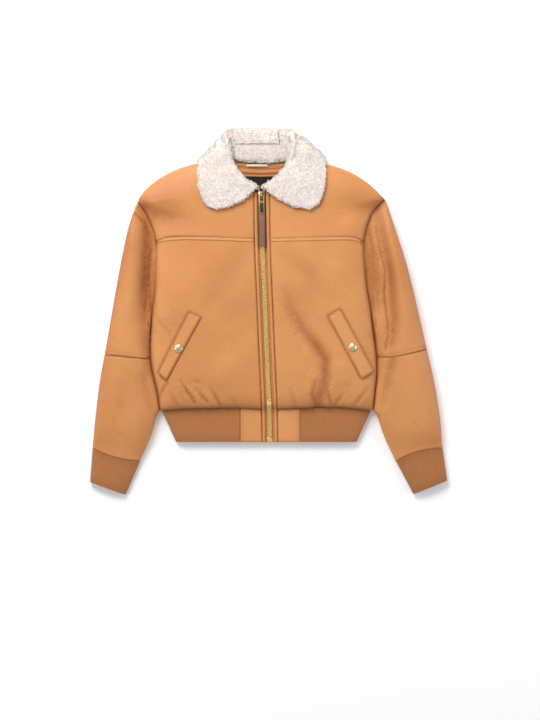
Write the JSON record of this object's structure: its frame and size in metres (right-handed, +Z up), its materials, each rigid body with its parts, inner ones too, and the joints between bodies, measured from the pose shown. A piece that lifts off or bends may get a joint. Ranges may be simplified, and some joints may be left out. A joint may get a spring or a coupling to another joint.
{
  "type": "faux leather jacket",
  "caption": "Cropped zip jacket of faux leather with a pile collar, rib cuffs and hem and slanted pockets, lying flat on its back.",
  "frame": {"origin": "on the surface the jacket lies on, under the middle of its bounding box", "axes": "+X to the wearer's left, which is the viewer's right, +Y from the hem to the collar, +Z up from the surface to the fronts"},
  "size_m": [0.6982, 0.717, 0.0435],
  "materials": {
    "leather": "soft sheen, fine grain",
    "knit": "matt rib knit",
    "pile": "curly pile",
    "tape": "matt woven",
    "brass": "polished",
    "strap": "matt",
    "label": "matt woven, blank"
  },
  "bodies": {
    "jacket": {"front_right": "leather", "front_left": "leather", "yoke_right": "leather", "yoke_left": "leather", "back": "leather", "sleeve_upper_right": "leather", "sleeve_upper_left": "leather", "sleeve_lower_right": "leather", "sleeve_lower_left": "leather", "cuff_right": "knit", "cuff_left": "knit", "rib_front_right": "knit", "rib_front_left": "knit", "rib_back": "knit", "waist_tab_right": "leather", "waist_tab_left": "leather", "placket_right": "leather", "placket_left": "leather", "zip_tape_right": "tape", "zip_tape_left": "tape", "zip_teeth_right": "brass", "zip_teeth_left": "brass", "collar": "pile", "collar_patch": "pile", "neck_facing": "leather", "neck_label": "label", "hanger_loop": "pile", "pocket_welt_right": "leather", "pocket_welt_left": "leather", "stud_right": "brass", "stud_left": "brass", "zip_slider": "brass", "zip_box": "brass"},
    "pull": {"zip_pull": "brass", "pull_strap": "strap"}
  },
  "joints": [
    {"name": "zip_pull_hinge", "type": "hinge", "parent": "jacket", "child": "pull", "pos_m": [-0.01364, 0.22409, 0.03402], "axis": [-0.9999, -0.0139, 0.0003], "range_deg": [0, 120]}
  ]
}
